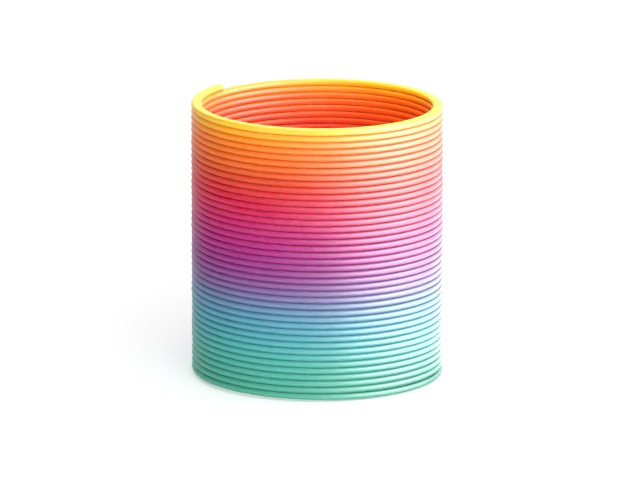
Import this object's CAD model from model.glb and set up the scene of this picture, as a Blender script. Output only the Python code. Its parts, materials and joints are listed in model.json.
# A rainbow spring coil toy that stands closed: one plastic strip, wound left-handed into a tube.
# A place along the strip is a number of turns. It counts from where the strip first passes +X, and it
# rises by way of the front (-Y), the left (-X) and the back (+Y). The bottom end is just below zero.

import json
import math

import bpy
import numpy as np
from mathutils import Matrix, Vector

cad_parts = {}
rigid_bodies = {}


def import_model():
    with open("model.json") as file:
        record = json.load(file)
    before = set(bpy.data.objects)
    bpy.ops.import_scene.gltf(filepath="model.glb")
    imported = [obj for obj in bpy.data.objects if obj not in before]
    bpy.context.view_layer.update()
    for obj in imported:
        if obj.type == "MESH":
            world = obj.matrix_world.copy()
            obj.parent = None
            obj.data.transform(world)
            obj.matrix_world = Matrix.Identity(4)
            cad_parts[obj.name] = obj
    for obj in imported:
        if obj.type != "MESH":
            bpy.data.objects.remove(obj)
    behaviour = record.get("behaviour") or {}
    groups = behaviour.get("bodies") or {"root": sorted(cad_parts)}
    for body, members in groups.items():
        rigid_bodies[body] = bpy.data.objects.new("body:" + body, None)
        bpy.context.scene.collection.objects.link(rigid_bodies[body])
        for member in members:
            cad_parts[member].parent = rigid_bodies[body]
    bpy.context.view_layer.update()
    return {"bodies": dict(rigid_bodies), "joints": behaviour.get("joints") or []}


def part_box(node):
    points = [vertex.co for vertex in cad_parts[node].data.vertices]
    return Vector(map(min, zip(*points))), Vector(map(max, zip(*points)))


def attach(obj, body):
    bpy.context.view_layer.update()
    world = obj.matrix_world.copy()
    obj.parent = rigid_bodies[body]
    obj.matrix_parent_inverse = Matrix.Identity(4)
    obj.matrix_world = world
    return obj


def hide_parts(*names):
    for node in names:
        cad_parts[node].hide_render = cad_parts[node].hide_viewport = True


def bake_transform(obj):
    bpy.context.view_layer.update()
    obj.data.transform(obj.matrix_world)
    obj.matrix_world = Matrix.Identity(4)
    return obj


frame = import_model()

# ---------------------------------------------------------------- sizes, in metres and turns

BODIES = frame["bodies"]
TURNS = len({name[:len("turn_00")] for name in BODIES})
STRIP_WIDTH = 0.003
STRIP_THICKNESS = 0.0019
EDGE_ROUNDING = (0.00066, 0.00086)  # half axes of the elliptical edges: across the strip, and upwards
CROWN = 0.00004                     # how far the outer and inner faces bulge
END_ROUNDING = 0.00018              # rounding of the two cut ends
FOOT = 54 / 360                     # the flat bottom end, in turns
TOP_END = 36 / 360                  # how far the top end passes the left
SETTLE = 0.27                       # turns over which the strip rises from its foot into the coil
FLEX = 18 / 360                     # half the length over which a bending turn flexes
STEPS_PER_TURN = 180
CORNER_STEPS = 7                    # points on each rounded edge
END_STEPS = 4                       # rings on each rounded end

OUTER_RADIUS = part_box("turn_02")[1].x
MIDDLE_RADIUS = OUTER_RADIUS - STRIP_WIDTH / 2
PITCH = (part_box("turn_41")[0].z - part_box("turn_03")[0].z) / (41 - 3)
HINGES = [joint for joint in frame["joints"] if joint["type"] == "hinge"]
FIRST_HINGE_TURN = int(HINGES[0]["child"][len("turn_"):len("turn_00")])
# Height of the strip's underside at 0 turns, if it weren't flat there
FIRST_HEIGHT = HINGES[0]["pos_m"][2] - STRIP_THICKNESS / 2 - (FIRST_HINGE_TURN - 0.5) * PITCH
BOTTOM = -FOOT
TOP = TURNS - 0.5 + TOP_END


def body_names(turn):
    """The body of a turn's front half and that of its back half."""
    name = f"turn_{turn:02d}"
    return (name, name) if name in BODIES else (name + "_lower", name + "_upper")


def bends(turn):
    """Whether a turn is two bodies, with a hinge between them at the left."""
    return f"turn_{turn:02d}_lower" in BODIES


# ---------------------------------------------------------------- the strip's line

def smooth(share):
    share = np.clip(share, 0, 1)
    return share * share * (3 - 2 * share)


def wave(turns, seed, knots_per_turn):
    """A smooth random wave along the strip, from about -1 to 1."""
    knots = np.random.default_rng(seed).uniform(-1, 1, int((TURNS + 2) * knots_per_turn) + 3)
    place = (np.asarray(turns) + 1) * knots_per_turn
    below = np.floor(place).astype(int)
    return knots[below] + (knots[below + 1] - knots[below]) * smooth(place - below)


def underside(turns):
    """Height of the strip's underside. The foot is flat, and then the strip settles into the coil."""
    turns = np.asarray(turns, float)
    coil = FIRST_HEIGHT + turns * PITCH
    drop = FIRST_HEIGHT * (1 - smooth(turns / SETTLE))
    slow_unevenness = 0.00004 * wave(turns, 11, 0.31)
    quick_unevenness = 0.00001 * wave(turns, 12, 2.3)
    settled = smooth(turns / SETTLE)
    return np.where(turns < 0, 0, coil - drop + settled * (slow_unevenness + quick_unevenness))


def radius(turns):
    """Radius of the strip's middle line. No two turns of a real coil are exactly as wide."""
    slow_unevenness = 0.00006 * wave(turns, 21, 0.6)
    quick_unevenness = 0.00003 * wave(turns, 22, 3.1)
    return MIDDLE_RADIUS + slow_unevenness + quick_unevenness


def point_on_line(turns, outwards=0.0, up=0.0):
    """Points at offsets from the line in the middle of the strip's underside."""
    angle = -2 * math.pi * np.asarray(turns, float)
    reach = radius(turns) + outwards
    return np.stack([reach * np.cos(angle), reach * np.sin(angle), underside(turns) + up], axis=-1)


# ---------------------------------------------------------------- the strip's section

def section():
    """The section's outline as (outwards, up) points, its normals, and how far each is a corner."""
    points, normals, corners = [], [], []
    half_size = np.array([STRIP_WIDTH, STRIP_THICKNESS]) / 2
    rounding = np.array(EDGE_ROUNDING)
    for quarter in range(4):
        side = np.array([(1, -1, -1, 1)[quarter], (1, 1, -1, -1)[quarter]])
        for step in range(CORNER_STEPS):
            share = step / (CORNER_STEPS - 1)
            angle = math.pi / 2 * (quarter + share)
            way = np.array([math.cos(angle), math.sin(angle)])
            normal = way / rounding
            points.append(side * (half_size - rounding) + rounding * way)
            normals.append(normal / np.linalg.norm(normal))
            corners.append(math.sin(math.pi * share))
        # the middle of the face after this corner
        face_angle = math.pi / 2 * (quarter + 1)
        normal = np.array([math.cos(face_angle), math.sin(face_angle)])
        bulge = CROWN if quarter % 2 else 0
        points.append(normal * (half_size + bulge))
        normals.append(normal)
        corners.append(0)
    points = np.array(points) + np.array([0, half_size[1]])
    return points, np.array(normals), np.array(corners)


SECTION, SECTION_NORMALS, SECTION_CORNERS = section()
# How deep in the coil each point lies: 1 on the inner face, and the groove's depth on the rounded edges
GROOVE_DEPTH = 0.5
SECTION_DEPTH = np.clip(np.maximum(-SECTION_NORMALS[:, 0], GROOVE_DEPTH * SECTION_CORNERS), 0, 1)
POINTS = len(SECTION)


def rings_of(start, end, cut_start, cut_end):
    """(turns, inset, share of the normal that faces along) of every ring from start to end."""
    steps = max(1, round((end - start) * STEPS_PER_TURN))
    rings = [(start + (end - start) * step / steps, 0.0, 0.0) for step in range(steps + 1)]
    length = END_ROUNDING / (2 * math.pi * MIDDLE_RADIUS)
    rounding = []
    for step in range(END_STEPS):
        angle = math.pi / 2 * step / END_STEPS
        inset = END_ROUNDING * (1 - math.sin(angle))
        rounding.append((length * (1 - math.cos(angle)), inset, math.cos(angle)))
    if cut_start:
        rings = [(start + place, inset, along) for place, inset, along in rounding] \
            + [(start + length, 0.0, 0.0)] + rings[1:]
    if cut_end:
        rings = rings[:-1] + [(end - length, 0.0, 0.0)] \
            + [(end - place, inset, along) for place, inset, along in reversed(rounding)]
    return rings


def shape_of(rings):
    """Vertices and outward normals of the rings, and the strip's direction at each vertex."""
    turns, inset, along = (np.array(values) for values in zip(*rings))
    middle = np.array([0, STRIP_THICKNESS / 2])
    offsets = SECTION[None] - middle
    reach = np.linalg.norm(offsets, axis=2, keepdims=True)
    offsets = offsets * (1 - inset[:, None, None] / reach) + middle
    each_turn = np.repeat(turns[:, None], POINTS, axis=1)
    vertices = point_on_line(each_turn, offsets[..., 0], offsets[..., 1])

    angle = -2 * math.pi * each_turn
    forwards = np.stack([np.sin(angle), -np.cos(angle), np.zeros_like(angle)], axis=-1)
    sideways = np.stack([
        SECTION_NORMALS[None, :, 0] * np.cos(angle),
        SECTION_NORMALS[None, :, 0] * np.sin(angle),
        np.repeat(SECTION_NORMALS[None, :, 1], len(rings), axis=0),
    ], axis=-1)
    facing = np.where(turns < (turns[0] + turns[-1]) / 2, -1.0, 1.0)[:, None, None]
    share = along[:, None, None]
    normals = sideways * np.sqrt(1 - share ** 2) + forwards * facing * share
    return vertices, normals, forwards


def tube_faces(ring_count):
    """Faces of a closed tube: the quads of its sides, then its first cap and its last one."""
    ring = np.arange(ring_count - 1)[:, None] * POINTS
    point = np.arange(POINTS)[None]
    after = (point + 1) % POINTS
    quads = np.stack([ring + point, ring + after, ring + POINTS + after, ring + POINTS + point], axis=-1)
    first_cap = list(reversed(range(POINTS)))
    last_cap = [(ring_count - 1) * POINTS + vertex for vertex in range(POINTS)]
    return quads.reshape(-1, 4).tolist() + [first_cap, last_cap]


def corner_vertices(mesh):
    """The vertex at each corner of each face."""
    vertices = np.zeros(len(mesh.loops), int)
    mesh.loops.foreach_get("vertex_index", vertices)
    return vertices


def shade(mesh, normals, forwards):
    """The sides follow the strip's own normals, and the caps meet them at sharp edges."""
    mesh.polygons.foreach_set("use_smooth", [True] * len(mesh.polygons))
    cap_edges = {tuple(sorted(key)) for face in mesh.polygons[-2:] for key in face.edge_keys}
    sharp = mesh.attributes.new("sharp_edge", "BOOLEAN", "EDGE")
    sharp.data.foreach_set("value", [tuple(sorted(edge.vertices)) in cap_edges for edge in mesh.edges])
    corner_normals = normals.reshape(-1, 3)[corner_vertices(mesh)]
    corner_normals[-2 * POINTS:-POINTS] = -forwards[0, 0]
    corner_normals[-POINTS:] = forwards[-1, 0]
    mesh.normals_split_custom_set(corner_normals.tolist())


def place_on_strip(mesh, turns):
    """Each corner's share of the strip's length, distance along it and distance around its section."""
    corner_vertex = corner_vertices(mesh)
    ring, point = corner_vertex // POINTS, corner_vertex % POINTS
    lengths = np.linalg.norm(np.roll(SECTION, -1, axis=0) - SECTION, axis=1)
    around = np.concatenate([[0], np.cumsum(lengths)])
    # the last quad around the section ends at its full length, not at zero
    side_corners = len(corner_vertex) - 2 * POINTS
    quad_point = np.repeat(np.tile(np.arange(POINTS), len(turns) - 1), 4)
    closes = np.zeros(len(corner_vertex), bool)
    closes[:side_corners] = (point[:side_corners] == 0) & (quad_point == POINTS - 1)
    return np.stack([
        (turns[ring] - BOTTOM) / (TOP - BOTTOM),
        turns[ring] * 2 * math.pi * MIDDLE_RADIUS,
        np.where(closes, around[-1], around[point]),
    ], axis=-1)


def strip_piece(name, start, end, cut_start=False, cut_end=False):
    """A closed length of the strip, with the attributes that its material reads."""
    rings = rings_of(start, end, cut_start, cut_end)
    vertices, normals, forwards = shape_of(rings)
    mesh = bpy.data.meshes.new(name)
    mesh.from_pydata(vertices.reshape(-1, 3).tolist(), [], tube_faces(len(rings)))
    mesh.update()
    shade(mesh, normals, forwards)

    place = place_on_strip(mesh, np.array([ring[0] for ring in rings]))
    attribute = mesh.attributes.new("strip_place", "FLOAT_VECTOR", "CORNER")
    attribute.data.foreach_set("vector", place.astype(np.float32).ravel())
    for key, values in (("strip_edge", SECTION_CORNERS), ("strip_depth", SECTION_DEPTH)):
        attribute = mesh.attributes.new(key, "FLOAT", "POINT")
        attribute.data.foreach_set("value", np.tile(values, len(rings)).astype(np.float32))

    piece = bpy.data.objects.new(name, mesh)
    bpy.context.scene.collection.objects.link(piece)
    return piece


# ---------------------------------------------------------------- materials

def node(tree, kind, **settings):
    made = tree.nodes.new(kind)
    for key, value in settings.items():
        setattr(made, key, value)
    return made


def math_node(tree, operation, first, second):
    made = node(tree, "ShaderNodeMath", operation=operation)
    for socket, value in zip(made.inputs, (first, second)):
        if isinstance(value, bpy.types.NodeSocket):
            tree.links.new(value, socket)
        else:
            socket.default_value = value
    return made.outputs[0]


def strip_noise(tree, place, scale, detail=2.0, roughness=0.5):
    """Noise in the strip's own coordinates, with a scale in cells per metre, along and around."""
    stretched = node(tree, "ShaderNodeVectorMath", operation="MULTIPLY")
    tree.links.new(place, stretched.inputs[0])
    stretched.inputs[1].default_value = (0, scale[0], scale[1])
    noise = node(tree, "ShaderNodeTexNoise")
    noise.inputs["Scale"].default_value = 1
    noise.inputs["Detail"].default_value = detail
    noise.inputs["Roughness"].default_value = roughness
    tree.links.new(stretched.outputs[0], noise.inputs["Vector"])
    return noise.outputs["Fac"]


def map_range(tree, value, low, high, to_low, to_high):
    made = node(tree, "ShaderNodeMapRange")
    tree.links.new(value, made.inputs["Value"])
    for key, number in (("From Min", low), ("From Max", high), ("To Min", to_low), ("To Max", to_high)):
        made.inputs[key].default_value = number
    return made.outputs["Result"]


NOISE_RANGE = (0.3, 0.7)            # nearly all of a noise lies between these
SCUFF_COLOUR = (0.8, 0.8, 0.78, 1)

# The rainbow along the strip, from its bottom end (0) to its top end (1)
RAINBOW = [
    (0.00, (0.08, 0.42, 0.30)),
    (0.10, (0.08, 0.45, 0.36)),
    (0.18, (0.08, 0.43, 0.43)),
    (0.26, (0.09, 0.37, 0.47)),
    (0.32, (0.13, 0.30, 0.44)),
    (0.38, (0.22, 0.15, 0.36)),
    (0.45, (0.30, 0.05, 0.28)),
    (0.54, (0.42, 0.01, 0.25)),
    (0.64, (0.56, 0.01, 0.15)),
    (0.74, (0.66, 0.01, 0.04)),
    (0.81, (0.68, 0.08, 0.01)),
    (0.86, (0.79, 0.18, 0.01)),
    (0.93, (0.82, 0.22, 0.01)),
    (0.97, (0.86, 0.42, 0.01)),
    (1.00, (0.88, 0.62, 0.04)),
]


def rainbow(tree, place, lines, clouds):
    """The rainbow's colour, uneven by a fraction of a turn, with faint lines in it."""
    parts = node(tree, "ShaderNodeSeparateXYZ")
    tree.links.new(place, parts.inputs[0])
    ramp = node(tree, "ShaderNodeValToRGB")
    ramp.color_ramp.interpolation = "B_SPLINE"
    while len(ramp.color_ramp.elements) < len(RAINBOW):
        ramp.color_ramp.elements.new(0.5)
    for element, (position, colour) in zip(ramp.color_ramp.elements, RAINBOW):
        element.position = position
        element.color = (*colour, 1)
    shift = map_range(tree, clouds, *NOISE_RANGE, -0.004, 0.004)
    tree.links.new(math_node(tree, "ADD", parts.outputs["X"], shift), ramp.inputs["Fac"])
    tone = node(tree, "ShaderNodeHueSaturation")
    tree.links.new(map_range(tree, lines, *NOISE_RANGE, 0.95, 1.05), tone.inputs["Value"])
    tree.links.new(map_range(tree, clouds, *NOISE_RANGE, 1.03, 0.97), tone.inputs["Saturation"])
    tree.links.new(ramp.outputs["Color"], tone.inputs["Color"])
    return tone.outputs["Color"]


def mix_colours(tree, factor, first, second):
    """Passes from the first colour to the second. The second may be a plain colour."""
    mixed = node(tree, "ShaderNodeMix", data_type="RGBA", blend_type="MIX")
    tree.links.new(factor, mixed.inputs["Factor"])
    tree.links.new(first, mixed.inputs["A"])
    if isinstance(second, bpy.types.NodeSocket):
        tree.links.new(second, mixed.inputs["B"])
    else:
        mixed.inputs["B"].default_value = second
    return mixed.outputs["Result"]


def deepened(tree, colour):
    """Light that comes through the plastic deepens its colour inside the coil and in the grooves."""
    depth = node(tree, "ShaderNodeAttribute", attribute_name="strip_depth").outputs["Fac"]
    deep = node(tree, "ShaderNodeGamma")
    deep.inputs["Gamma"].default_value = 1.9
    tree.links.new(colour, deep.inputs["Color"])
    lifted = node(tree, "ShaderNodeHueSaturation")
    lifted.inputs["Value"].default_value = 1.25
    tree.links.new(deep.outputs["Color"], lifted.inputs["Color"])
    return mix_colours(tree, depth, colour, lifted.outputs["Color"])


def bumped(tree, lines, grain):
    """A normal that shows the lines, and a weaker grain."""
    bump = node(tree, "ShaderNodeBump")
    bump.inputs["Strength"].default_value = 0.35
    bump.inputs["Distance"].default_value = 0.00003
    height = math_node(tree, "ADD", lines, math_node(tree, "MULTIPLY", grain, 0.35))
    tree.links.new(height, bump.inputs["Height"])
    return bump.outputs["Normal"]


def rainbow_plastic():
    """Semi-gloss plastic strip: the rainbow, fine lines drawn along it, and slightly scuffed edges."""
    material = bpy.data.materials.new("rainbow_plastic")
    material.use_nodes = True
    tree = material.node_tree
    shader = tree.nodes["Principled BSDF"]
    place = node(tree, "ShaderNodeAttribute", attribute_name="strip_place").outputs["Vector"]
    edge = node(tree, "ShaderNodeAttribute", attribute_name="strip_edge").outputs["Fac"]
    lines = strip_noise(tree, place, (18, 5200), detail=3)
    clouds = strip_noise(tree, place, (45, 260), detail=3)
    grain = strip_noise(tree, place, (2600, 2600), detail=2)

    # scuffs: paler and duller spots where the edges have rubbed
    rubbed = strip_noise(tree, place, (420, 2400), detail=4, roughness=0.7)
    scuff = math_node(tree, "MULTIPLY", edge, map_range(tree, rubbed, 0.52, 0.68, 0, 1))
    colour = deepened(tree, rainbow(tree, place, lines, clouds))
    faint_scuff = math_node(tree, "MULTIPLY", scuff, 0.08)
    tree.links.new(mix_colours(tree, faint_scuff, colour, SCUFF_COLOUR), shader.inputs["Base Color"])
    dull = map_range(tree, clouds, *NOISE_RANGE, 0.48, 0.56)
    rough = math_node(tree, "ADD", dull, math_node(tree, "MULTIPLY", scuff, 0.1))
    tree.links.new(rough, shader.inputs["Roughness"])
    tree.links.new(bumped(tree, lines, grain), shader.inputs["Normal"])
    shader.inputs["IOR"].default_value = 1.46
    shader.inputs["Specular IOR Level"].default_value = 0.45
    return material


PLASTIC = rainbow_plastic()


# ---------------------------------------------------------------- the coil's pieces

def dress(piece, node_name):
    """Gives a piece its material and slot, and says which CAD node it stands for."""
    piece.data.materials.append(PLASTIC)
    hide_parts(node_name)


def blend_along(piece, first_body, second_body, start, end, start_share, end_share):
    """The piece passes from one body to the next, from one share of the way to another."""
    first, last = (Vector((*point_on_line(turns)[:2], 0)) for turns in (start, end))
    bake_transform(piece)


def make_bottom():
    """The foot, which rests on the table, and the front half of the first turn, which rises from it."""
    body = body_names(1)[0]
    for name, start, end in (("foot", BOTTOM, 0), ("front_right", 0, 0.25), ("front_left", 0.25, 0.5)):
        piece = strip_piece(f"turn_01_{name}", start, end, cut_start=name == "foot")
        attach(piece, body)
        dress(piece, body)


def make_link(turn):
    """The strip from the left of a turn to the left of the next, which spreads as the coil stretches."""
    lower = body_names(turn)[1]
    upper = body_names(turn + 1)[0]
    start = turn - 0.5 + (FLEX if bends(turn) else 0)
    end = turn + 0.5 - (FLEX if bends(turn + 1) else 0)
    cuts = [start, turn - 0.25, turn, turn + 0.25, end]
    names = [
        (turn, "back_left", lower), (turn, "back_right", lower),
        (turn + 1, "front_right", upper), (turn + 1, "front_left", upper),
    ]
    for (owner, name, node_name), first, last in zip(names, cuts, cuts[1:]):
        piece = strip_piece(f"turn_{owner:02d}_{name}", first, last)
        shares = [(place - start) / (end - start) for place in (first, last)]
        blend_along(piece, lower, upper, first, last, *shares)
        dress(piece, node_name)


def make_flex(turn):
    """The short length at the left of a bending turn, which twists as the coil arches."""
    lower, upper = body_names(turn)
    start, end = turn - 0.5 - FLEX, turn - 0.5 + FLEX
    piece = strip_piece(f"turn_{turn:02d}_flex", start, end)
    blend_along(piece, lower, upper, start, end, 0, 1)
    dress(piece, lower)


def make_top():
    """The top end, which is cut off a little past the left."""
    body = body_names(TURNS)[1]
    piece = strip_piece(f"turn_{TURNS:02d}_top_end", TURNS - 0.5, TOP, cut_end=True)
    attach(piece, body)
    dress(piece, body)


make_bottom()
for turn in range(1, TURNS):
    make_link(turn)
    if bends(turn):
        make_flex(turn)
make_top()


# ---------------------------------------------------------------- camera, floor and light

# The table is lit from within, as in a product photograph: faintly near the coil, and white far from it
NEAR_GLOW, NEAR_DISTANCE = 0.36, 0.45
FAR_GLOW, FAR_DISTANCE = 1.0, 0.9
FLOOR_HALF_WIDTH = 30.0
CAMERA_DISTANCE = 2.299             # from the coil's axis, measured level
CAMERA_PITCH = math.radians(13.73)
CAMERA_SENSOR = 36                  # in millimetres, like the lens
CAMERA_LENS = 439
AIM = Vector((0.0009, 0, 0.041))
COIL_MIDDLE = Vector((0, 0, 0.04))
WORLD_LIGHT = 0.02


def make_camera():
    data = bpy.data.cameras.new("camera")
    data.sensor_width = CAMERA_SENSOR
    data.lens = CAMERA_LENS
    camera = bpy.data.objects.new("camera", data)
    bpy.context.scene.collection.objects.link(camera)
    camera.location = AIM + Vector((0, -CAMERA_DISTANCE, CAMERA_DISTANCE * math.tan(CAMERA_PITCH)))
    camera.rotation_euler = (AIM - camera.location).to_track_quat("-Z", "Y").to_euler()
    bpy.context.scene.camera = camera


def make_floor():
    half = FLOOR_HALF_WIDTH
    corners = [(-half, -half, 0), (half, -half, 0), (half, half, 0), (-half, half, 0)]
    mesh = bpy.data.meshes.new("floor")
    mesh.from_pydata(corners, [], [(0, 1, 2, 3)])
    floor = bpy.data.objects.new("floor", mesh)
    bpy.context.scene.collection.objects.link(floor)
    material = bpy.data.materials.new("pale_floor")
    material.use_nodes = True
    tree = material.node_tree
    shader = tree.nodes["Principled BSDF"]
    shader.inputs["Base Color"].default_value = (0.8, 0.8, 0.8, 1)
    shader.inputs["Roughness"].default_value = 0.9
    shader.inputs["Emission Color"].default_value = (1, 1, 1, 1)
    distance = node(tree, "ShaderNodeVectorMath", operation="LENGTH")
    tree.links.new(node(tree, "ShaderNodeNewGeometry").outputs["Position"], distance.inputs[0])
    glow = map_range(tree, distance.outputs["Value"], NEAR_DISTANCE, FAR_DISTANCE, NEAR_GLOW, FAR_GLOW)
    tree.links.new(glow, shader.inputs["Emission Strength"])
    mesh.materials.append(material)


def panel(name, location, target, size, power, diffuse=True, glossy=True):
    """A rectangular area light that faces a point. The camera doesn't see it."""
    data = bpy.data.lights.new(name, "AREA")
    data.shape = "RECTANGLE"
    data.size, data.size_y = size
    data.energy = power
    light = bpy.data.objects.new(name, data)
    bpy.context.scene.collection.objects.link(light)
    light.location = location
    light.rotation_euler = (Vector(target) - Vector(location)).to_track_quat("-Z", "Y").to_euler()
    light.visible_camera = False
    light.visible_diffuse = diffuse
    light.visible_glossy = glossy


def softbox(name, azimuth, elevation, distance, size, power, diffuse=True, glossy=True):
    """A panel that faces the coil. Azimuth 0 is the camera's side, and 90 is +X."""
    turned, raised = math.radians(azimuth), math.radians(elevation)
    level = math.cos(raised)
    way = Vector((math.sin(turned) * level, -math.cos(turned) * level, math.sin(raised)))
    panel(name, COIL_MIDDLE + way * distance, COIL_MIDDLE, size, power, diffuse, glossy)


def make_world():
    """White where the camera looks at it, and hardly a light."""
    world = bpy.data.worlds.new("world")
    bpy.context.scene.world = world
    world.use_nodes = True
    tree = world.node_tree
    seen = node(tree, "ShaderNodeLightPath").outputs["Is Camera Ray"]
    tree.links.new(map_range(tree, seen, 0, 1, WORLD_LIGHT, 1), tree.nodes["Background"].inputs["Strength"])
    tree.nodes["Background"].inputs["Color"].default_value = (1, 1, 1, 1)


bpy.context.scene.view_settings.view_transform = "Standard"
make_camera()
make_floor()
make_world()
# azimuth and elevation in degrees, distance in metres, width and height in metres, and power in watts
softbox("overhead", 0, 80, 1.2, (1.0, 1.0), 4.6)
softbox("front_key", 2, 30, 1.0, (0.9, 0.6), 8.2)
softbox("backdrop", 180, 12, 1.0, (1.6, 0.5), 8.5)
softbox("right_sheen", 66, 9, 0.9, (1.3, 0.5), 104, diffuse=False)
softbox("right_back_sheen", 116, 12, 1.0, (0.9, 0.5), 7, diffuse=False)
softbox("right_high", 90, 42, 1.0, (0.7, 0.7), 10, diffuse=False)
# a bright card that lies on the table at the right, and a small lamp that shines into the coil
panel("right_card", (0.265, -0.03, 0.0005), (0.265, -0.03, 1), (0.44, 0.44), 5.5, diffuse=False)
panel("inside_lamp", (0.022, -0.018, 0.14), (-0.02, 0.02, 0.07), (0.04, 0.04), 0.09, glossy=False)
